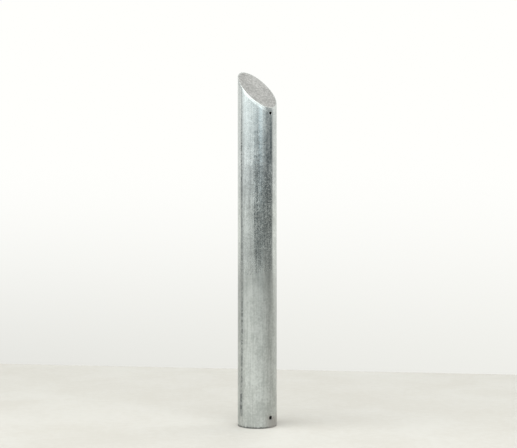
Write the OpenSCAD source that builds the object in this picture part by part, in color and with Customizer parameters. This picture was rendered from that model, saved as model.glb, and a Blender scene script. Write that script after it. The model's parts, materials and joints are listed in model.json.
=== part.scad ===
// Round steel safety bollard for setting in the ground: a tube with a slanted, plated top.
// It stands on its foot at the origin, +Z up. The slant falls towards -Y, where the holes are.

/* [Tube] */
// Outer diameter of the tube
tube_d = 165.1; // [88.9:0.1:219.1]
// Wall thickness of the tube
tube_wall = 5; // [4.5:0.1:8]
// Overall height, from the foot to the highest point of the weld round the cap
post_h = 1500; // [1000:10:2000]
// Angle of the slanted top from level
slant = 45; // [30:1:50]
// Chamfer on the outer edge of the foot
foot_chamfer = 1; // [0.5:0.1:2]

/* [Cap] */
// Thickness of the cap plate
plate_t = 5; // [4.5:0.5:6]
// Width of the ground weld round the plate, measured level across the rim
weld_w = 4; // [3:0.1:4.2]
// How far the weld's rounded outer edge comes in from the tube's outside
edge_in = 1.2; // [0.6:0.1:2]
// How much of the weld's height that rounded edge takes up
edge_share = 0.85; // [0.4:0.05:0.95]

/* [Holes] */
// Diameter of the vent hole in the front wall
vent_d = 13; // [8:0.5:16]
// Height of the cap's low edge above the centre of the vent hole
vent_drop = 21; // [20:1:80]
// Diameter of the anchor rod's hole, through both walls
anchor_d = 16; // [8:0.5:20]
// Height of the anchor rod's hole above the foot
anchor_h = 42.5; // [20:0.5:200]

/* [Seam] */
// How far the tube's lengthwise weld stands out inside
seam_h = 0.3; // [0.1:0.05:0.4]
// Width of that weld inside
seam_w = 7; // [4:0.5:12]
// Angle of the seam round the tube, from the low side of the slant, seen from above
seam_angle = -97; // [-180:1:180]

/* [Hidden] */

ZINC = [0.72, 0.74, 0.75];
GROUND_ZINC = [0.80, 0.81, 0.82];
BARE_STEEL = [0.55, 0.56, 0.58];

$fn = 96;
tube_r = tube_d / 2;
bore_r = tube_r - tube_wall;
rise = tan(slant);

// How far down the outside the weld's rounded edge reaches
edge_down = edge_share * plate_t / cos(slant);

// Heights of the cap's top face and of the tube's cut end, both on the tube's axis.
// The rounded edge takes a little off the tip of the slant, and top_trim puts the post's height right.
top_trim = edge_in * rise + edge_down - norm([edge_in * rise, edge_down]);
face_z = post_h - tube_r * rise + top_trim;
cut_z = face_z - plate_t / cos(slant);
low_edge_z = face_z - tube_r * rise;

// Half the angle that the inner seam takes up round the bore
seam_half = asin(seam_w / 2 / bore_r);

// The plate lies on the tube's cut end and stops a hair short of the weld's inner wall.
plate_gap = 0.1;
plate_r = tube_r - weld_w - plate_gap;

// Sections round the weld, steps across its rounded edge, and steps across half the seam
WELD_STATIONS = 96;
EDGE_STEPS = 8;
SEAM_STEPS = 6;
// How far a drill starts clear of the wall and runs on past it
DRILL_RUN = 1;

// A slab whose underside crosses the axis at height z and falls towards -Y
module slant_block(z, thick) {
    side = 4 * post_h;
    translate([0, 0, z])
        rotate([slant, 0, 0])
            translate([-side / 2, -side / 2, 0])
                cube([side, side, thick]);
}

// A drill along +Y that enters the front wall at height z
module drill(d, z, depth) {
    translate([0, -tube_r - DRILL_RUN, z])
        rotate([-90, 0, 0])
            cylinder(d = d, h = depth + 2 * DRILL_RUN);
}

// Welded steel tube: cut square at the foot and slanted at the top, drilled for vent and anchor rod
module post_tube() {
    color(ZINC)
        difference() {
            rotate_extrude()
                polygon([
                    [bore_r, 0],
                    [tube_r - foot_chamfer, 0],
                    [tube_r, foot_chamfer],
                    [tube_r, post_h],
                    [bore_r, post_h]
                ]);
            slant_block(cut_z, post_h);
            drill(vent_d, low_edge_z - vent_drop, 2 * tube_wall);
            drill(anchor_d, anchor_h, tube_d);
        }
}

// Flat plate that closes the slanted end, an ellipse on its own plane and round seen from above
module cap_plate() {
    color(ZINC)
        intersection() {
            cylinder(r = plate_r, h = 2 * post_h);
            slant_block(cut_z, plate_t);
        }
}

// A point at angle a from the low side and radius r, on the slanted plane that crosses the axis at height z
function slant_point(a, r, z) = [r * sin(a), -r * cos(a), z - r * rise * cos(a)];

// A point of the weld's rounded edge, from the top face (turn 0) down to the tube's outside (turn 90)
function edge_point(a, turn) =
    slant_point(a, tube_r - edge_in * (1 - sin(turn)), face_z - edge_down * (1 - cos(turn)));

// One section of the weld at angle a: up its inner wall, out over its rounded edge and down its outer wall
function weld_section(a) = [
    slant_point(a, tube_r - weld_w, cut_z),
    slant_point(a, tube_r - weld_w, face_z),
    for (k = [0 : EDGE_STEPS])
        edge_point(a, 90 * k / EDGE_STEPS),
    slant_point(a, tube_r, cut_z)
];

// Continuous weld that fills the step between the plate and the tube, ground round and flush
module cap_weld() {
    ring = EDGE_STEPS + 4;
    points = [
        for (i = [0 : WELD_STATIONS - 1])
            each weld_section(i * 360 / WELD_STATIONS)
    ];
    faces = [
        for (i = [0 : WELD_STATIONS - 1])
            for (k = [0 : ring - 1])
                let(
                    here = i * ring,
                    next = ((i + 1) % WELD_STATIONS) * ring,
                    up = (k + 1) % ring
                )
                each [
                    [here + k, here + up, next + up],
                    [here + k, next + up, next + k]
                ]
    ];
    color(GROUND_ZINC)
        polyhedron(points = points, faces = faces);
}

// A point round the bore, k steps from the middle of the seam and r from the axis
function seam_point(r, k) = let(turn = seam_half * k / SEAM_STEPS) r * [sin(turn), -cos(turn)];

// Low bead that the tube's own lengthwise weld leaves inside, from the foot to the plate
module seam_bead() {
    wall_side = [for (k = [-SEAM_STEPS : SEAM_STEPS]) seam_point(bore_r, k)];
    crown = [
        for (k = [SEAM_STEPS - 1 : -1 : 1 - SEAM_STEPS])
            seam_point(bore_r - seam_h * (1 - pow(k / SEAM_STEPS, 2)), k)
    ];
    color(BARE_STEEL)
        difference() {
            rotate([0, 0, seam_angle])
                linear_extrude(height = post_h)
                    polygon(concat(wall_side, crown));
            slant_block(cut_z, post_h);
        }
}

post_tube();
cap_plate();
cap_weld();
seam_bead();
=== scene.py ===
"""Looks for the slant-topped steel bollard: galvanised tube, welded cap plate, studio floor and light."""
import json
import math
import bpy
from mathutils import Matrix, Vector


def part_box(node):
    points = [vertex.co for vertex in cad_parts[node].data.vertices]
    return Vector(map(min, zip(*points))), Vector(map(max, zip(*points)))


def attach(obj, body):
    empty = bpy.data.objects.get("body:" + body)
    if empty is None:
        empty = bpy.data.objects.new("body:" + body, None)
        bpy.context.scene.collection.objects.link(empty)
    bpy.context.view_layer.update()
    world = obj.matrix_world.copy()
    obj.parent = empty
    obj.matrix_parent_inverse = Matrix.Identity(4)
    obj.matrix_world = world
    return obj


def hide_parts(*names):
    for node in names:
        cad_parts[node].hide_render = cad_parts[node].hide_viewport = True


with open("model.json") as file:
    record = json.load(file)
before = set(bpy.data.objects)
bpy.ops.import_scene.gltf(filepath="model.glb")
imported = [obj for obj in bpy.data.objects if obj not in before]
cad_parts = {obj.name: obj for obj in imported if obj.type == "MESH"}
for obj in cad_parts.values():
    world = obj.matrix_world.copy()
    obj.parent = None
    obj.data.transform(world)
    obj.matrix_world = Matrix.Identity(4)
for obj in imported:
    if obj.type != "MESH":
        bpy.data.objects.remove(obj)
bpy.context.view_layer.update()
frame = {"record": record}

from types import SimpleNamespace

import bmesh
import bpy
import numpy as np

# ---------------------------------------------------------------- sizes, in metres and radians
TUBE_LOW, TUBE_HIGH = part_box("post_tube")
MOUNTS = {mount["name"]: mount for mount in frame["record"]["mounts"]}

TUBE_R = (TUBE_HIGH.x - TUBE_LOW.x) / 2
WALL = 0.005
BORE_R = TUBE_R - WALL
SLANT = math.radians(45)
RISE = math.tan(SLANT)
# Heights of the tube's cut end and of the cap plate's top face, both on the axis
PLATE_T = 0.005
CUT_Z = TUBE_HIGH.z - TUBE_R * RISE
FACE_Z = CUT_Z + PLATE_T / math.cos(SLANT)
# The weld round the plate, and how far in and down its rounded edge goes
WELD_W = 0.004
PLATE_R = TUBE_R - WELD_W
EDGE_IN, EDGE_DOWN = 0.0012, 0.006

ANCHOR_Z = MOUNTS["anchor_rod_hole"]["pos_m"][2]
ANCHOR_R = MOUNTS["anchor_rod_hole"]["dims"]["r_mm"] / 1000
VENT_R = 0.0065
VENT_DROP = 0.021
VENT_Z = FACE_Z - TUBE_R * RISE - VENT_DROP

# Turns round the tube, from the low side of the slant, seen from above
FRONT, BACK = 0.0, math.pi
SEAM_TURN = math.radians(-97)
# The side of the foot that gets painted shade, standing in for the shadowed floor it mirrors
FOOT_SHADE_TURN = math.radians(70)
DULL_TURN = math.radians(-42)
SPECK_TURN = math.radians(-24)

# The seam's trace outside strays round the tube as one long wave, and turns aside near the foot
TRACE_SHIFT = 0.0028
TRACE_SWAY, TRACE_SWAY_Z, TRACE_SWAY_LENGTH = 0.0032, 0.6, 1.7
TRACE_FOOT_SHIFT, TRACE_FOOT_LOW, TRACE_FOOT_HIGH = -0.0035, 0.10, 0.26

# Depths and reaches of the marks in the zinc skin
SOFT_DEPTH, RUN_DEPTH = 0.00007, 0.00003
GROOVE_DEPTH, GROOVE_HALF_W, GROOVE_WANDER = 0.00022, 0.0032, 0.0006
GROOVE_GONE_Z, GROOVE_ENDS_Z = 1.34, 1.24
GROOVE_WEAK_Z, GROOVE_FULL_Z = 1.15, 0.95
DRESSED_DEPTH = 0.00022
DRESSED_REACH, DRESSED_REACH_LOW, DRESSED_SPREAD = 0.006, 0.008, 0.75
DRAWN_DEPTH, DRAWN_REACH = 0.00010, 0.060

# Columns round the tube, plate and weld, and from a hole's middle to the edge of its window
COLUMNS = 256
HOLE_HALF = 6
COLUMN_STEP = 2 * math.pi / COLUMNS
# Corners sharper than this keep a hard edge
CREASE = math.radians(40)


# ---------------------------------------------------------------- shared shape helpers
def around(turn, radius, z):
    """Points at an angle from the low side of the slant, seen from above."""
    turn, radius, z = np.broadcast_arrays(turn, radius, z)
    return np.stack([radius * np.sin(turn), -radius * np.cos(turn), z], -1)


def all_turns():
    return np.arange(COLUMNS) * COLUMN_STEP


def waves(turn, z, seed, count, turns, lengths):
    """Smooth random waves, periodic round the tube, between about -1 and 1."""
    draw = np.random.default_rng(seed)
    total = np.zeros(np.broadcast(turn, z).shape)
    for _ in range(count):
        laps = draw.integers(turns[0], turns[1] + 1)
        length = draw.uniform(*lengths)
        total = total + np.sin(laps * turn + 2 * math.pi * z / length + draw.uniform(0, 2 * math.pi))
    return total / math.sqrt(2 * count)


def smooth_step(low, high, value):
    t = np.clip((value - low) / (high - low), 0, 1)
    return t * t * (3 - 2 * t)


def angle_gap(turn, centre):
    return (turn - centre + math.pi) % (2 * math.pi) - math.pi


def cut_height(turn, radius):
    """Height of the tube's slanted cut."""
    return CUT_Z - radius * RISE * np.cos(turn)


def face_height(turn, radius):
    """Height of the cap's slanted top face."""
    return FACE_Z - radius * RISE * np.cos(turn)


def seam_path(z):
    """How far the seam's trace strays round the tube, at each height."""
    sway = TRACE_SWAY * np.cos(2 * math.pi * (z - TRACE_SWAY_Z) / TRACE_SWAY_LENGTH)
    return TRACE_SHIFT + sway + TRACE_FOOT_SHIFT * smooth_step(TRACE_FOOT_HIGH, TRACE_FOOT_LOW, z)


def groove_depth(turn, z):
    """The seam's trace: a shallow groove that fades out towards the top."""
    across = angle_gap(turn, SEAM_TURN) * TUBE_R
    wander = GROOVE_WANDER * waves(turn * 0, z, seed=13, count=4, turns=(0, 0), lengths=(0.2, 0.7))
    groove = GROOVE_DEPTH * np.exp(-(((across - seam_path(z) - wander) / GROOVE_HALF_W) ** 2))
    strength = 0.45 + 0.55 * smooth_step(GROOVE_WEAK_Z, GROOVE_FULL_Z, z)
    return groove * smooth_step(GROOVE_GONE_Z, GROOVE_ENDS_Z, z) * strength


def dressed_depth(turn, z):
    """How deep the grinder went below the weld, further down on the low side, and a longer soft dip."""
    below = cut_height(turn, TUBE_R) - z
    reach = DRESSED_REACH + DRESSED_REACH_LOW * np.exp(-((angle_gap(turn, FRONT) / DRESSED_SPREAD) ** 2))
    dressed = DRESSED_DEPTH * smooth_step(1, -0.3, below / reach)
    return dressed, DRAWN_DEPTH * smooth_step(DRAWN_REACH, 0.0, below)


def skin_depth(turn, z):
    """How far the zinc skin lies inside the tube's nominal radius."""
    soft = SOFT_DEPTH * (1 + waves(turn, z, seed=11, count=14, turns=(2, 9), lengths=(0.25, 0.9)) / 2)
    runs = RUN_DEPTH * (1 + waves(turn, z, seed=12, count=18, turns=(12, 34), lengths=(0.12, 0.5)) / 2)
    dressed, drawn = dressed_depth(turn, z)
    return np.clip(soft + runs, 0, None) + groove_depth(turn, z) + dressed + drawn


def face_outward(mesh):
    """Turn every face of a closed mesh so that its normal points out of the solid."""
    shape = bmesh.new()
    shape.from_mesh(mesh)
    bmesh.ops.recalc_face_normals(shape, faces=shape.faces)
    shape.to_mesh(mesh)
    shape.free()


def new_piece(name, points, faces, material, slot, *nodes):
    mesh = bpy.data.meshes.new(name)
    mesh.from_pydata([tuple(p) for p in points], [], [tuple(f) for f in faces])
    mesh.validate()
    face_outward(mesh)
    mesh.materials.append(material)
    mesh.polygons.foreach_set("use_smooth", [True] * len(mesh.polygons))
    mesh.set_sharp_from_angle(angle=CREASE)
    piece = bpy.data.objects.new(name, mesh)
    bpy.context.scene.collection.objects.link(piece)
    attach(piece, "root")
    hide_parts(*nodes)
    return piece


def ring_faces(rows, columns, close_rows=False, skip=None):
    """Quads over a grid of rows that closes round its columns."""
    last = rows if close_rows else rows - 1
    faces = []
    for i in range(last):
        up = (i + 1) % rows
        for j in range(columns):
            if skip is not None and skip[i, j]:
                continue
            right = (j + 1) % columns
            faces.append((i * columns + j, i * columns + right, up * columns + right, up * columns + j))
    return faces


# ---------------------------------------------------------------- tube
# Half the width and height of the patch of wall round each hole
WINDOW = HOLE_HALF * TUBE_R * COLUMN_STEP
FOOT_ROUND = 0.0012
RIM_ROUND = 0.0011
INNER_RIM_ROUND = 0.0006

# Steps of a hole's skin: over its outer window, round its outer rim, along its wall, round its
# inner rim and over its inner window
WINDOW_STEPS, RIM_STEPS, BARREL_STEPS, INNER_RIM_STEPS, INNER_WINDOW_STEPS = 5, 4, 3, 3, 4
# Steps round the foot's outer and inner edges, and rows from there to the anchor hole's window
FOOT_STEPS, INNER_FOOT_STEPS, LOW_ROWS = 6, 5, 9
# How wide the foot's inner round is against its height
INNER_FOOT_SHARE = 0.6


def wall_levels(spacing):
    """Heights of a wall's rows, from the foot's round to just over the vent.

    Also says at which row each of the two holes' windows starts.
    """
    low = np.linspace(FOOT_ROUND, ANCHOR_Z - WINDOW, LOW_ROWS)
    anchor = np.linspace(ANCHOR_Z - WINDOW, ANCHOR_Z + WINDOW, 2 * HOLE_HALF + 1)
    count = round((VENT_Z - ANCHOR_Z - 2 * WINDOW) / spacing)
    middle = np.linspace(ANCHOR_Z + WINDOW, VENT_Z - WINDOW, count + 1)
    vent = np.linspace(VENT_Z - WINDOW, VENT_Z + WINDOW, 2 * HOLE_HALF + 1)
    levels = np.concatenate([low, anchor[1:], middle[1:], vent[1:]])
    anchor_row = LOW_ROWS - 1
    return levels, anchor_row, anchor_row + 2 * HOLE_HALF + count


def wall_rows(radius, spacing, top_rows):
    """Heights of one wall's points, from the foot to the slanted cut, and where its windows start."""
    levels, anchor_row, vent_row = wall_levels(spacing)
    heights = [np.full(COLUMNS, z) for z in levels]
    cut = cut_height(all_turns(), radius)
    for k in range(1, top_rows + 1):
        heights.append(levels[-1] + (cut - levels[-1]) * k / top_rows)
    return np.array(heights), anchor_row, vent_row


def foot_rows(turn):
    """Rows round the foot: up its outer edge, and down its inner edge."""
    outer, inner = [], []
    for k in range(FOOT_STEPS):
        roll = math.pi / 2 * k / FOOT_STEPS
        radius = TUBE_R - skin_depth(turn, 0 * turn) - FOOT_ROUND * (1 - math.sin(roll))
        outer.append(around(turn, radius, FOOT_ROUND * (1 - math.cos(roll))))
    for k in range(1, INNER_FOOT_STEPS):
        roll = math.pi / 2 * k / INNER_FOOT_STEPS
        radius = BORE_R + FOOT_ROUND * (1 - math.cos(roll)) * INNER_FOOT_SHARE
        inner.append(around(turn, radius, FOOT_ROUND * (1 - math.sin(roll))))
    return np.array(outer), np.array(inner)


def outer_depth(flat, facing, z):
    """How far out the tube's skin lies, over flat points in the plane that a hole faces."""
    turn = np.arcsin(flat[:, 0] / TUBE_R) + facing
    radius = TUBE_R - skin_depth(turn, flat[:, 1] + z)
    return np.sqrt(radius**2 - flat[:, 0] ** 2)


def inner_depth(flat):
    """How far out the bore's wall lies, over the same points."""
    return np.sqrt(BORE_R**2 - flat[:, 0] ** 2)


def hole_rings(window_out, window_in, facing, z, hole_r):
    """Flat points and depth of each ring, from the outer window in through the wall to the inner one."""
    around_hole = np.arctan2(window_out[:, 1], window_out[:, 0])
    circle = np.stack([np.cos(around_hole), np.sin(around_hole)], -1)
    rings = []
    for k in range(1, WINDOW_STEPS + 1):
        flat = window_out + (circle * (hole_r + RIM_ROUND) - window_out) * (k / WINDOW_STEPS)
        rings.append((flat, outer_depth(flat, facing, z)))
    for k in range(1, RIM_STEPS + 1):
        roll = math.pi / 2 * k / RIM_STEPS
        flat = circle * (hole_r + RIM_ROUND * (1 - math.sin(roll)))
        rings.append((flat, outer_depth(flat, facing, z) - RIM_ROUND * (1 - math.cos(roll))))
    start = outer_depth(circle * hole_r, facing, z) - RIM_ROUND
    end = inner_depth(circle * hole_r) + INNER_RIM_ROUND
    for k in range(1, BARREL_STEPS + 1):
        rings.append((circle * hole_r, start + (end - start) * k / BARREL_STEPS))
    for k in range(1, INNER_RIM_STEPS + 1):
        roll = math.pi / 2 * k / INNER_RIM_STEPS
        flat = circle * (hole_r + INNER_RIM_ROUND * (1 - math.cos(roll)))
        rings.append((flat, inner_depth(flat) + INNER_RIM_ROUND * (1 - math.sin(roll))))
    for k in range(1, INNER_WINDOW_STEPS):
        share = k / INNER_WINDOW_STEPS
        flat = circle * (hole_r + INNER_RIM_ROUND) * (1 - share) + window_in * share
        rings.append((flat, inner_depth(flat)))
    return rings


def hole_patch(points, loop_out, loop_in, facing, z, hole_r):
    """New points and faces of the skin between a hole's outer window and its inner one."""
    outward = np.array([math.sin(facing), -math.cos(facing)])
    along = np.array([math.cos(facing), math.sin(facing)])

    def flattened(loop):
        return np.stack([points[loop][:, :2] @ along, points[loop][:, 2] - z], -1)

    rings = hole_rings(flattened(loop_out), flattened(loop_in), facing, z, hole_r)
    extra = []
    for flat, depth in rings:
        ground = flat[:, :1] * along + depth[:, None] * outward
        extra.append(np.concatenate([ground, flat[:, 1:] + z], 1))
    count, first = len(loop_out), len(points)
    loops = [[first + i * count + j for j in range(count)] for i in range(len(rings))]
    loops = [loop_out] + loops + [loop_in]
    faces = []
    for here, there in zip(loops, loops[1:]):
        for j in range(count):
            k = (j + 1) % count
            faces.append((here[j], here[k], there[k], there[j]))
    return np.concatenate(extra), faces


def window_loop(row, column, step=1):
    """Points round a hole's window: along its low side, up, back along its high side and down.

    The step is -1 on the bore, where the rows run downwards.
    """
    span = 2 * HOLE_HALF
    left = column - HOLE_HALF
    loop = [(row, left + i) for i in range(span)]
    loop += [(row + step * i, left + span) for i in range(span)]
    loop += [(row + step * span, left + span - i) for i in range(span)]
    loop += [(row + step * (span - i), left) for i in range(span)]
    return [r * COLUMNS + c % COLUMNS for r, c in loop]


def drop_unused(points, faces):
    """The points that a face uses, and the faces numbered to match."""
    used = np.unique(np.concatenate([np.array(face) for face in faces]))
    renumber = np.full(len(points), -1)
    renumber[used] = np.arange(len(used))
    return points[used], [tuple(renumber[list(face)]) for face in faces]


def build_tube(material):
    turn = all_turns()
    outer_z, outer_anchor, outer_vent = wall_rows(TUBE_R, spacing=0.009, top_rows=26)
    inner_z, inner_anchor, inner_vent = wall_rows(BORE_R, spacing=0.03, top_rows=10)
    outer = around(turn, TUBE_R - skin_depth(turn, outer_z), outer_z)
    inner = around(turn, BORE_R, inner_z)
    foot_outer, foot_inner = foot_rows(turn)
    middle_r = (BORE_R + TUBE_R) / 2
    cut = around(turn, middle_r, cut_height(turn, middle_r))

    # The rows run up the outside, over the cut, down the bore and round the foot.
    rows = np.concatenate([foot_outer, outer, cut[None], inner[::-1], foot_inner])
    first_outer = len(foot_outer)
    last_inner = first_outer + len(outer) + len(inner)
    skip = np.zeros(rows.shape[:2], bool)
    windows = []
    for facing, z, hole_r, out_row, in_row in (
        (FRONT, ANCHOR_Z, ANCHOR_R, outer_anchor, inner_anchor),
        (FRONT, VENT_Z, VENT_R, outer_vent, inner_vent),
        (BACK, ANCHOR_Z, ANCHOR_R, outer_anchor, inner_anchor),
    ):
        column = round(facing / COLUMN_STEP)
        columns = np.arange(column - HOLE_HALF, column + HOLE_HALF) % COLUMNS
        low_out, low_in = first_outer + out_row, last_inner - in_row
        skip[low_out:low_out + 2 * HOLE_HALF, columns] = True
        skip[low_in - 2 * HOLE_HALF:low_in, columns] = True
        windows.append((window_loop(low_out, column), window_loop(low_in, column, -1), facing, z, hole_r))

    points = rows.reshape(-1, 3)
    faces = ring_faces(len(rows), COLUMNS, True, skip)
    for window in windows:
        extra, more = hole_patch(points, *window)
        points = np.concatenate([points, extra])
        faces += more
    return new_piece("tube", *drop_unused(points, faces), material, "tube_zinc", "post_tube")


# ---------------------------------------------------------------- cap plate
PLATE_RINGS, UNDER_STEP = 34, 6
CAP_NORMAL = np.array([0, -math.sin(SLANT), math.cos(SLANT)])
# The plate's top face dips in soft waves, and not at all at its rim
DIP_DEPTH, DIP_WIDTH, MIDDLE_DIP = 0.00012, 0.012, 0.0001


def build_plate(material):
    turn = all_turns()
    upper, lower = [], []
    for k in range(1, PLATE_RINGS + 1):
        radius = PLATE_R * k / PLATE_RINGS
        spot = around(turn, radius, face_height(turn, radius))
        sway = waves(spot[:, 0] / DIP_WIDTH, spot[:, 1],
                     seed=21, count=8, turns=(1, 2), lengths=(0.05, 0.12))
        dip = DIP_DEPTH * (1 + sway / 2) * (1 - (k / PLATE_RINGS) ** 6)
        upper.append(spot - dip[:, None] * CAP_NORMAL)
    for k in range(PLATE_RINGS, 0, -UNDER_STEP):
        radius = PLATE_R * k / PLATE_RINGS
        lower.append(around(turn, radius, cut_height(turn, radius)))
    rows = np.array(upper + lower)
    points = np.concatenate([rows.reshape(-1, 3), [(0, 0, FACE_Z - MIDDLE_DIP), (0, 0, CUT_Z)]])
    faces = ring_faces(len(rows), COLUMNS)
    top, bottom = len(points) - 2, len(points) - 1
    last = (len(rows) - 1) * COLUMNS
    for j in range(COLUMNS):
        k = (j + 1) % COLUMNS
        faces.append((top, k, j))
        faces.append((bottom, last + j, last + k))
    return new_piece("cap_face", points, faces, material, "cap_zinc", "cap_plate")


# ---------------------------------------------------------------- weld round the cap
WELD_TOP_STEPS, WELD_EDGE_STEPS = 4, 12
# How unevenly the rounded edge was ground by hand
HAND_DEPTH = 0.00015


def build_weld(material):
    turn = all_turns()
    hand = 0.5 + waves(turn, 0, seed=31, count=6, turns=(5, 19), lengths=(1, 2)) / 2
    rows = [around(turn, PLATE_R, cut_height(turn, PLATE_R))]
    corner = TUBE_R - EDGE_IN
    for k in range(WELD_TOP_STEPS):
        radius = PLATE_R + (corner - PLATE_R) * k / WELD_TOP_STEPS
        rows.append(around(turn, radius, face_height(turn, radius)))
    for k in range(WELD_EDGE_STEPS + 1):
        roll = math.pi / 2 * k / WELD_EDGE_STEPS
        radius = corner + EDGE_IN * math.sin(roll)
        z = face_height(turn, radius) - EDGE_DOWN * (1 - math.cos(roll))
        radius = radius - HAND_DEPTH * hand * math.sin(roll) * math.cos(roll)
        radius = radius - skin_depth(turn, z) * smooth_step(0, 1, k / WELD_EDGE_STEPS)
        rows.append(around(turn, radius, z))
    low = cut_height(turn, TUBE_R)
    rows.append(around(turn, TUBE_R - skin_depth(turn, low), low))
    faces = ring_faces(len(rows), COLUMNS, True)
    return new_piece("cap_rim", np.concatenate(rows), faces, material, "weld_zinc", "cap_weld")


# ---------------------------------------------------------------- seam inside the tube
SEAM_HALF_W, SEAM_CROWN, SEAM_BASE = 0.0035, 0.0003, 0.00001
SEAM_STEPS, SEAM_ROWS = 6, 360


def build_seam(material):
    half = math.asin(SEAM_HALF_W / BORE_R)
    high = cut_height(SEAM_TURN, BORE_R)
    points = []
    for i in range(SEAM_ROWS):
        z = high * i / (SEAM_ROWS - 1)
        crown = SEAM_CROWN * (0.72 + 0.28 * math.sin(i * 1.9) * math.sin(i * 0.37))
        for k in range(-SEAM_STEPS, SEAM_STEPS + 1):
            share = k / SEAM_STEPS
            points.append(around(SEAM_TURN + half * share, BORE_R - crown * (1 - share**2), z))
        for k in range(SEAM_STEPS - 1, -SEAM_STEPS, -1):
            share = k / SEAM_STEPS
            points.append(around(SEAM_TURN + half * share, BORE_R - SEAM_BASE * (1 - abs(share)), z))
    count = 4 * SEAM_STEPS
    faces = ring_faces(SEAM_ROWS, count)
    faces.append(tuple(range(count)))
    faces.append(tuple((SEAM_ROWS - 1) * count + j for j in reversed(range(count))))
    return new_piece("inner_seam", points, faces, material, "seam_zinc", "seam_bead")


# ---------------------------------------------------------------- material helpers
class Tree:
    """Short names for the shader nodes that the materials share."""

    def __init__(self, owner):
        owner.use_nodes = True
        self.tree = owner.node_tree
        self.tree.nodes.clear()

    def node(self, kind, **settings):
        made = self.tree.nodes.new(kind)
        for key, value in settings.items():
            setattr(made, key, value)
        return made

    def put(self, value, socket):
        if isinstance(value, bpy.types.NodeSocket):
            self.tree.links.new(value, socket)
        else:
            socket.default_value = value

    def math(self, operation, *values):
        made = self.node("ShaderNodeMath", operation=operation)
        for value, socket in zip(values, made.inputs):
            self.put(value, socket)
        return made.outputs[0]

    def vector(self, operation, a, b):
        made = self.node("ShaderNodeVectorMath", operation=operation)
        self.put(a, made.inputs[0])
        self.put(b, made.inputs["Scale" if operation == "SCALE" else 1])
        return made.outputs[0]

    def plus(self, first, *others):
        for other in others:
            first = self.math("ADD", first, other)
        return first

    def minus(self, a, b):
        return self.math("SUBTRACT", a, b)

    def times(self, first, *others):
        for other in others:
            first = self.math("MULTIPLY", first, other)
        return first

    def centred(self, value, reach):
        """A value from 0 to 1 turned into a swing about 0."""
        return self.times(self.minus(value, 0.5), reach)

    def outward(self, x, y, turn):
        """How far out from the axis a point lies, in the direction at an angle from the low side."""
        return self.minus(self.times(x, math.sin(turn)), self.times(y, math.cos(turn)))

    def sideways(self, x, y, turn):
        """How far to the side of that direction it lies, counter-clockwise seen from above."""
        return self.plus(self.times(x, math.cos(turn)), self.times(y, math.sin(turn)))

    def remap(self, value, low, high, to_low=0.0, to_high=1.0, smooth=True):
        made = self.node("ShaderNodeMapRange", interpolation_type="SMOOTHSTEP" if smooth else "LINEAR")
        for item, name in zip((value, low, high, to_low, to_high),
                              ("Value", "From Min", "From Max", "To Min", "To Max")):
            self.put(item, made.inputs[name])
        return made.outputs["Result"]

    def split(self, vector):
        made = self.node("ShaderNodeSeparateXYZ")
        self.put(vector, made.inputs[0])
        return made.outputs

    def join(self, *channels):
        made = self.node("ShaderNodeCombineXYZ")
        for channel, socket in zip(channels, made.inputs):
            self.put(channel, socket)
        return made.outputs[0]

    def noise(self, vector, scale, detail=3.0, roughness=0.5, distortion=0.0, stretch=None):
        if stretch is not None:
            vector = self.vector("MULTIPLY", vector, stretch)
        made = self.node("ShaderNodeTexNoise", noise_dimensions="3D")
        for item, name in zip((vector, scale, detail, roughness, distortion),
                              ("Vector", "Scale", "Detail", "Roughness", "Distortion")):
            self.put(item, made.inputs[name])
        return made.outputs["Fac"]

    def cells(self, vector, scale):
        """Voronoi cells' random values, one set for each cell."""
        made = self.node("ShaderNodeTexVoronoi", feature="F1", voronoi_dimensions="3D")
        self.put(vector, made.inputs["Vector"])
        self.put(scale, made.inputs["Scale"])
        parts = self.node("ShaderNodeSeparateColor")
        self.put(made.outputs["Color"], parts.inputs[0])
        return parts.outputs

    def mix(self, factor, a, b):
        made = self.node("ShaderNodeMix", data_type="RGBA")
        for item, name in zip((factor, a, b), ("Factor", "A", "B")):
            self.put(item, made.inputs[name])
        return made.outputs["Result"]

    def bump(self, height, distance):
        made = self.node("ShaderNodeBump")
        for item, name in zip((height, distance, 1.0), ("Height", "Distance", "Strength")):
            self.put(item, made.inputs[name])
        return made.outputs["Normal"]

    def surface(self, **inputs):
        """A Principled shader with the given inputs, wired to the output."""
        shader = self.node("ShaderNodeBsdfPrincipled")
        for name, value in inputs.items():
            self.put(value, shader.inputs[name.replace("_", " ")])
        out = self.node("ShaderNodeOutputMaterial")
        self.put(shader.outputs[0], out.inputs["Surface"])


# ---------------------------------------------------------------- hot-dip zinc
# Heights and distances in the functions below are in metres, like the mesh.
SEAM_BAND = (0.20, 0.21, 0.205, 1.0)
SEAM_CORE = (0.13, 0.14, 0.14, 1.0)
# Colour of the painted shade low on one side of the foot
FOOT_SHADE_COLOUR = (0.405, 0.388, 0.375, 1.0)
WARMTH = (1.0, 0.997, 0.968)
LEAST_ROUGH = 0.12


def zinc_skin(t):
    """Positions and noises that several parts of the zinc share."""
    where = t.node("ShaderNodeTexCoord").outputs["Object"]
    x, y, height = t.split(where)
    return SimpleNamespace(
        where=where, x=x, y=y, height=height,
        clouds=t.noise(where, 14.0, 4.0, 0.55, 0.6),
        mottle=t.noise(where, 110.0, 3.0, 0.55, 0.4),
        runs=t.noise(where, 150.0, 3.0, 0.55, stretch=(1.0, 1.0, 0.05)),
        facets=t.cells(where, 160.0))


def zinc_colour(t, skin, bright, dark, blotch):
    """Bright and dark zinc by clouds, crystals and runs, with less contrast at mid height and high up."""
    tone = t.plus(t.times(skin.clouds, 0.5), t.times(skin.mottle, 0.5),
                  t.centred(skin.facets[0], 0.10), t.centred(skin.runs, 0.55))
    calm = t.plus(t.times(t.remap(skin.height, 0.80, 0.70), t.remap(skin.height, 0.50, 0.62)),
                  t.remap(skin.height, 1.12, 1.20))
    spread = t.math("MULTIPLY_ADD", calm, blotch * 0.4, blotch)
    return t.mix(t.remap(tone, t.minus(0.5, spread), t.plus(0.5, spread)), dark, bright)


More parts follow.
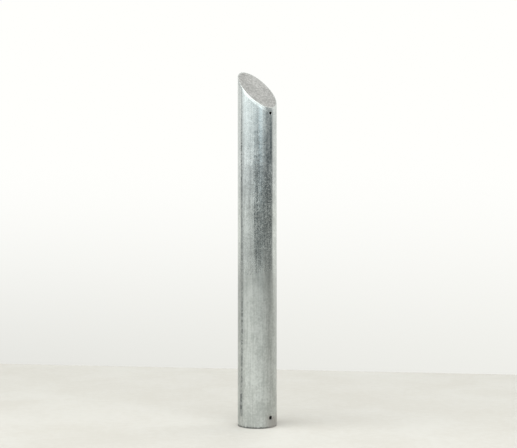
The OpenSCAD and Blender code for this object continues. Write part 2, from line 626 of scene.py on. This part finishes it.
def dull_ring(t, skin):
    """Where a darker ring lies high up, only on the side at DULL_TURN."""
    ring = t.plus(skin.height, t.centred(skin.clouds, 0.06))
    side = t.outward(skin.x, skin.y, DULL_TURN)
    return t.times(t.remap(ring, 1.12, 1.085), t.remap(ring, 1.035, 1.065), t.remap(side, 0.064, 0.077))


def zinc_shade(t, skin):
    """Darker on the lower half, a little less so at the foot, at the ring, and in a ragged line of painted
    shade along the foot, where it meets the floor.
    """
    # The ragged dark line along the very foot is painted shade where the tube meets the floor
    ragged = t.plus(skin.height, t.centred(skin.mottle, 0.012))
    return t.times(t.remap(skin.height, 0.86, 0.60, 1.0, 0.73), t.remap(skin.height, 0.56, 0.38, 1.0, 1.06),
                   t.remap(skin.height, 0.42, 0.16, 1.0, 1.10), t.remap(ragged, 0.0095, 0.004, 1.0, 0.38),
                   t.math("MULTIPLY_ADD", dull_ring(t, skin), -0.22, 1.0))


def zinc_rough(t, skin, rough_high, rough_low):
    """Roughness at the top and at the foot, and swings by clouds, crystals and runs."""
    low = t.remap(skin.height, 0.80, 0.48)
    return t.plus(t.remap(low, 0.0, 1.0, rough_high, rough_low, smooth=False),
                  t.centred(skin.clouds, 0.16), t.centred(skin.facets[1], 0.05), t.centred(skin.runs, 0.10))


def zinc_normal(t, skin):
    """Relief of runs, mottling, wipes, grain and dents, flatter on the lower half and near the cap."""
    wipes = t.noise(skin.where, 300.0, 2.0, 0.5, stretch=(0.12, 0.12, 1.0))
    grain = t.noise(skin.where, 1400.0, 3.0, 0.6)
    dents = t.noise(skin.where, 55.0, 2.0, 0.5, 0.3)
    relief = t.plus(t.times(skin.runs, 0.9), t.times(skin.mottle, 0.45), t.times(wipes, 0.15),
                    t.times(grain, 0.05), t.times(dents, 1.5))
    below_cut = t.minus(t.plus(skin.y, CUT_Z), skin.height)
    relief = t.times(relief, t.remap(skin.height, 1.0, 0.80, 1.0, 0.55),
                     t.remap(skin.height, 1.28, 1.08, 0.55, 1.0), t.remap(below_cut, 0.01, 0.09, 0.35, 1.0))
    return t.bump(relief, 0.00012)


def zinc_metal(t, skin):
    """Bare zinc mirrors. The bloom, scuffs and specks of oxide on it do so less."""
    bloom = t.plus(t.times(t.noise(skin.where, 95.0, 3.0, 0.6), 0.6), t.times(skin.runs, 0.4))
    bloomed = t.remap(skin.height, 1.12, 0.98, 0.74, 0.93)
    scuffs = t.remap(t.noise(skin.where, 380.0, 3.0, 0.6, stretch=(0.22, 0.22, 1.0)), 0.50, 0.62)
    scuffed = t.times(t.remap(skin.height, 0.84, 0.89), t.remap(skin.height, 1.02, 0.95))
    scuffs = t.times(scuffs, t.plus(0.15, t.times(scuffed, 0.35)))
    specks = t.remap(t.noise(skin.where, 150.0, 2.0, 0.6), 0.46, 0.60)
    speckled = t.times(t.remap(skin.height, 1.14, 1.06), t.remap(skin.height, 0.58, 0.78),
                       t.remap(t.outward(skin.x, skin.y, SPECK_TURN), 0.060, 0.076, 0.25, 1.0))
    metal = t.minus(t.remap(bloom, 0.42, 0.60, 1.0, bloomed, smooth=False), t.times(scuffs, 0.22))
    return t.minus(metal, t.times(specks, t.times(speckled, 0.225)))


def seam_line(t, skin):
    """Distance round the tube from the seam's trace, along the same path as its groove."""
    sway = t.math("COSINE", t.times(t.minus(skin.height, TRACE_SWAY_Z), 2 * math.pi / TRACE_SWAY_LENGTH))
    path = t.plus(t.math("MULTIPLY_ADD", sway, TRACE_SWAY, TRACE_SHIFT),
                  t.remap(skin.height, TRACE_FOOT_LOW, TRACE_FOOT_HIGH, TRACE_FOOT_SHIFT, 0.0))
    jitter = t.noise(skin.where, 60.0, stretch=(0.1, 0.1, 1.0))
    line = t.plus(t.minus(t.sideways(skin.x, skin.y, SEAM_TURN), path), t.centred(jitter, 0.003))
    return t.math("DIVIDE", t.math("ABSOLUTE", line), t.remap(skin.height, 0.18, 0.13, 1.0, 1.4))


def seam_marks(t, skin):
    """How strong the seam's soft dark band and its scaly core are."""
    line = seam_line(t, skin)
    patchy = t.remap(t.noise(skin.where, 24.0, 4.0, 0.65, stretch=(0.3, 0.3, 1.0)), 0.3, 0.65, 0.55, 1.0)
    scaly = t.remap(t.noise(skin.where, 75.0, 3.0, 0.6, stretch=(0.3, 0.3, 1.0)), 0.44, 0.56)
    near_side = t.math("GREATER_THAN", t.outward(skin.x, skin.y, SEAM_TURN), 0.0)
    strength = t.times(t.remap(skin.height, 0.042, 0.056), t.remap(skin.height, 1.33, 1.26, 0.0, 0.36),
                       t.remap(skin.height, 0.62, 0.53, 1.0, 2.7),
                       t.remap(skin.height, 0.38, 0.28, 1.0, 0.78),
                       t.remap(skin.height, 0.17, 0.12, 1.0, 1.55), near_side)
    band = t.times(t.remap(line, 0.0125, 0.0040), patchy,
                   t.times(strength, t.remap(skin.height, 1.05, 0.92, 0.4, 1.0)))
    core = t.times(t.remap(line, 0.0072, 0.0030), scaly,
                   t.times(strength, t.remap(skin.height, 1.05, 0.92, 2.1, 1.0)))
    return band, core


def painted_foot_shade(t, skin):
    """How strong the painted shade at the foot is: on one side, at its turn set above, with a ragged upper
    edge. It stands in for the shadowed floor that the shiny foot mirrors there.
    """
    edge = t.minus(t.plus(t.times(skin.clouds, 0.05), t.times(skin.mottle, 0.02)), 0.035)
    edge = t.plus(skin.height, edge)
    side = t.outward(skin.x, skin.y, FOOT_SHADE_TURN)
    return t.times(t.remap(edge, 0.066, 0.040), t.remap(side, -0.010, 0.034),
                   t.remap(skin.runs, 0.3, 0.7, 0.62, 0.95))


def zinc(name, bright, dark, rough_high, rough_low, blotch, marked=False):
    """Hot-dip zinc, warmer and rougher towards the foot. If marked, it also shows the seam and a painted
    shade low on one side of the foot.
    """
    material = bpy.data.materials.new(name)
    t = Tree(material)
    skin = zinc_skin(t)
    colour = t.vector("SCALE", zinc_colour(t, skin, bright, dark, blotch), zinc_shade(t, skin))
    colour = t.mix(t.remap(skin.height, 1.08, 0.88), colour, t.vector("MULTIPLY", colour, WARMTH))
    rough = zinc_rough(t, skin, rough_high, rough_low)
    if marked:
        band, core = seam_marks(t, skin)
        colour = t.mix(t.times(band, 0.52), colour, SEAM_BAND)
        colour = t.mix(t.times(core, 0.68), colour, SEAM_CORE)
        # Painted shade low on one side of the foot, standing in for the shadowed floor it mirrors
        colour = t.mix(painted_foot_shade(t, skin), colour, FOOT_SHADE_COLOUR)
        rough = t.plus(rough, t.times(band, 0.12))
    t.surface(Base_Color=colour, Roughness=t.math("MAXIMUM", rough, LEAST_ROUGH),
              Normal=zinc_normal(t, skin), Metallic=zinc_metal(t, skin))
    return material


# ---------------------------------------------------------------- the bollard
tube_zinc = zinc("tube_zinc", (0.675, 0.70, 0.695, 1), (0.49, 0.51, 0.505, 1), 0.155, 0.46, 0.17,
                 marked=True)
cap_zinc = zinc("cap_zinc", (0.525, 0.515, 0.505, 1), (0.335, 0.33, 0.322, 1), 0.50, 0.55, 0.10)
weld_zinc = zinc("weld_zinc", (0.67, 0.69, 0.68, 1), (0.57, 0.59, 0.58, 1), 0.24, 0.46, 0.22)
seam_zinc = zinc("seam_zinc", (0.60, 0.62, 0.62, 1), (0.38, 0.40, 0.40, 1), 0.45, 0.60, 0.20)
build_tube(tube_zinc)
build_plate(cap_zinc)
build_weld(weld_zinc)
build_seam(seam_zinc)

# ---------------------------------------------------------------- camera
CAMERA_TURN = math.radians(-42.8)
CAMERA_AWAY = 4.652
CAMERA_HEIGHT = 0.891
CAMERA_PITCH = math.radians(-0.48)
CAMERA_AIM = math.radians(0.065)
LENS_MM = 76.6
SENSOR_MM = 36.0

camera = bpy.data.objects.new("camera", bpy.data.cameras.new("camera"))
camera.data.lens = LENS_MM
camera.data.sensor_width = SENSOR_MM
camera.location = around(CAMERA_TURN, CAMERA_AWAY, CAMERA_HEIGHT)
camera.rotation_euler = (math.pi / 2 + CAMERA_PITCH, 0, CAMERA_TURN - CAMERA_AIM)
bpy.context.scene.collection.objects.link(camera)
bpy.context.scene.camera = camera

# ---------------------------------------------------------------- floor
# How far the floor runs from the bollard, as the camera sees it, and the turn of its far edge
FLOOR_BEHIND, FLOOR_AHEAD, FLOOR_SIDE = 1.69, 4.4, 4.6
WALL_SKEW = math.radians(-8.7)
FLOOR_DARK, FLOOR_PALE = (0.565, 0.537, 0.495, 1), (0.605, 0.583, 0.548, 1)
FLOOR_ROUGH = 0.7
FLOOR_RELIEF = 0.001


def floor_material():
    """Pale concrete, with painted light: a little brighter towards the camera and to its left."""
    material = bpy.data.materials.new("studio_floor")
    t = Tree(material)
    where = t.node("ShaderNodeTexCoord").outputs["Object"]
    x, y, _ = t.split(where)
    tone = t.plus(t.times(t.noise(where, 2.2, 5.0, 0.6, 0.5), 0.6),
                  t.times(t.noise(where, 28.0, 5.0, 0.65), 0.4))
    colour = t.mix(t.remap(tone, 0.36, 0.64), FLOOR_DARK, FLOOR_PALE)
    # Painted light: the floor brightens towards the camera and to its left
    light = t.times(t.remap(y, 1.7, -1.2, 0.95, 1.06), t.remap(x, -1.2, 1.2, 1.01, 0.97))
    t.surface(Base_Color=t.vector("SCALE", colour, light), Roughness=FLOOR_ROUGH,
              Normal=t.bump(t.noise(where, 60.0, 6.0, 0.6), FLOOR_RELIEF))
    return material


def build_floor():
    """A plane whose far edge is the foot of the wall, laid out square to the camera."""
    skew = math.tan(WALL_SKEW) * FLOOR_SIDE
    corners = [(-FLOOR_SIDE, FLOOR_BEHIND - skew, 0), (FLOOR_SIDE, FLOOR_BEHIND + skew, 0),
               (FLOOR_SIDE, -FLOOR_AHEAD, 0), (-FLOOR_SIDE, -FLOOR_AHEAD, 0)]
    mesh = bpy.data.meshes.new("floor")
    mesh.from_pydata(corners, [], [(3, 2, 1, 0)])
    mesh.materials.append(floor_material())
    floor = bpy.data.objects.new("floor", mesh)
    floor.rotation_euler.z = CAMERA_TURN
    bpy.context.scene.collection.objects.link(floor)


build_floor()

# ---------------------------------------------------------------- studio light
# Soft windows of light by direction: bearing 0 is towards the camera, positive to its right.
# Each has (low, high, softness at low, softness at high) in degrees for its bearings and its elevations.
WARM, NEUTRAL, COOL, BLUE = (1.0, 1.0, 0.95), (0.98, 1.0, 0.98), (0.86, 1.0, 1.02), (0.80, 1.0, 1.10)
ROOM = 0.10
PANELS = (
    ("left wall", (-240, -112, 1, 9), (-90, 9, 1, 2), 0.80, WARM),
    ("left gap", (-122, -97, 5, 6), (-3.5, 14, 1.0, 3), 0.09, NEUTRAL),
    ("left gap top", (-124, -95, 5, 6), (4.1, 14, 1.3, 3), 0.32, NEUTRAL),
    ("right wall", (100.5, 240, 9.5, 1), (-90, 90, 1, 1), 0.83, WARM),
    ("right wall low", (103, 142, 8, 12), (-90, -2.2, 1, 1.2), 0.36, WARM),
    ("left wall low", (-165, -118, 10, 6), (-90, -2.0, 1, 1.2), 0.11, WARM),
    ("softbox", (-103, -20, 7, 4), (-90, 90, 1, 1), 0.40, NEUTRAL),
    ("softbox core", (-97, -55, 7, 12), (-90, 90, 1, 1), 0.24, NEUTRAL),
    ("softbox mid", (-78, -19, 12, 4), (3.0, 14, 0.6, 3), 0.15, COOL),
    ("softbox top", (-95, -8, 12, 18), (3.8, 14, 1.2, 3), 0.44, COOL),
    ("overhead", (-92, 50, 15, 12), (9.5, 75, 2.0, 8), 1.50, NEUTRAL),
    ("overhead right", (50, 125, 12, 15), (7.2, 75, 1.2, 8), 0.26, NEUTRAL),
    ("ceiling", (-240, 240, 1, 1), (70, 91, 12, 1), 3.5, NEUTRAL),
    ("stripe", (10, 31, 6, 5), (4.0, 12, 0.8, 3), 0.54, BLUE),
    ("mid room", (-15, 50, 7, 9), (-90, 90, 1, 1), 0.02, BLUE),
    ("mid room top", (-15, 100, 7, 9), (3.0, 14, 0.7, 3), 0.09, BLUE),
    ("mid room high", (-18, 50, 7, 6), (4.3, 14, 0.8, 3), 0.32, COOL),
    ("mid room crown", (-20, 50, 8, 8), (5.7, 14, 0.5, 3), 0.30, NEUTRAL),
    ("upper wall", (-90, 92, 8, 8), (5.5, 14, 0.5, 3), 0.14, NEUTRAL),
    ("skirting", (-60, 110, 20, 9), (-3.6, -0.3, 2.0, 0.6), 0.17, NEUTRAL),
    ("softbox low", (-125, -40, 8, 12), (-4.2, -1.5, 0.6, 0.9), 0.12, NEUTRAL),
    ("near floor", (-110, 45, 8, 14), (-90, -5.3, 1, 3.0), 0.20, WARM),
    ("front floor", (12, 130, 12, 10), (-90, -7.0, 1, 1.2), 0.15, WARM),
    ("far corner", (22, 140, 14, 8), (-90, -5.0, 1, 2.5), 0.30, WARM),
)
# The wall behind, as the camera sees it, with its light painted in: how high it brightens, in degrees, and
# its tones
WALL_LOW, WALL_HIGH = -12, 3
WALL_DARK, WALL_SIDELIT = 0.78, 0.2
WALL_BLUE_LOW, WALL_BLUE_HIGH = 0.945, 0.975


def window(t, value, low, high, soft_low, soft_high):
    """1 between low and high, falling to 0 over the softness at each end."""
    rise = t.remap(value, low - soft_low, low + soft_low)
    drop = t.remap(value, high - soft_high, high + soft_high, 1.0, 0.0)
    return t.times(rise, drop)


def studio_light(t, bearing, elevation):
    """What the bollard mirrors: the room's own light and every panel's, added up."""
    light = t.join(*(channel * ROOM for channel in COOL))
    for _, bearings, elevations, strength, tint in PANELS:
        shape = t.times(window(t, bearing, *bearings), window(t, elevation, *elevations))
        panel = t.vector("SCALE", [channel * strength for channel in tint], shape)
        light = t.vector("ADD", light, panel)
    return light


def pale_wall(t, across, elevation):
    """What the camera sees behind the floor, with painted light: brighter upwards, and to the right low
    down.
    """
    climb = t.remap(elevation, WALL_LOW, WALL_HIGH)
    sidelit = t.times(t.times(across, WALL_SIDELIT), t.minus(1.0, climb))
    wall = t.plus(t.remap(climb, 0, 1, WALL_DARK, 1.0, smooth=False), sidelit)
    blue = t.times(wall, t.remap(climb, 0, 1, WALL_BLUE_LOW, WALL_BLUE_HIGH, smooth=False))
    return t.join(wall, wall, blue)


def build_world():
    world = bpy.data.worlds.new("studio")
    bpy.context.scene.world = world
    t = Tree(world)
    x, y, z = t.split(t.node("ShaderNodeTexCoord").outputs["Generated"])
    across = t.sideways(x, y, CAMERA_TURN)
    toward = t.outward(x, y, CAMERA_TURN)
    bearing = t.times(t.math("ARCTAN2", across, toward), 180 / math.pi)
    elevation = t.times(t.math("ARCSINE", z), 180 / math.pi)

    lit, backdrop = t.node("ShaderNodeBackground"), t.node("ShaderNodeBackground")
    t.put(studio_light(t, bearing, elevation), lit.inputs["Color"])
    t.put(pale_wall(t, across, elevation), backdrop.inputs["Color"])
    choose = t.node("ShaderNodeMixShader")
    t.put(t.node("ShaderNodeLightPath").outputs["Is Camera Ray"], choose.inputs["Fac"])
    t.put(lit.outputs[0], choose.inputs[1])
    t.put(backdrop.outputs[0], choose.inputs[2])
    out = t.node("ShaderNodeOutputWorld")
    t.put(choose.outputs[0], out.inputs["Surface"])


build_world()
bpy.context.scene.view_settings.view_transform = "Standard"
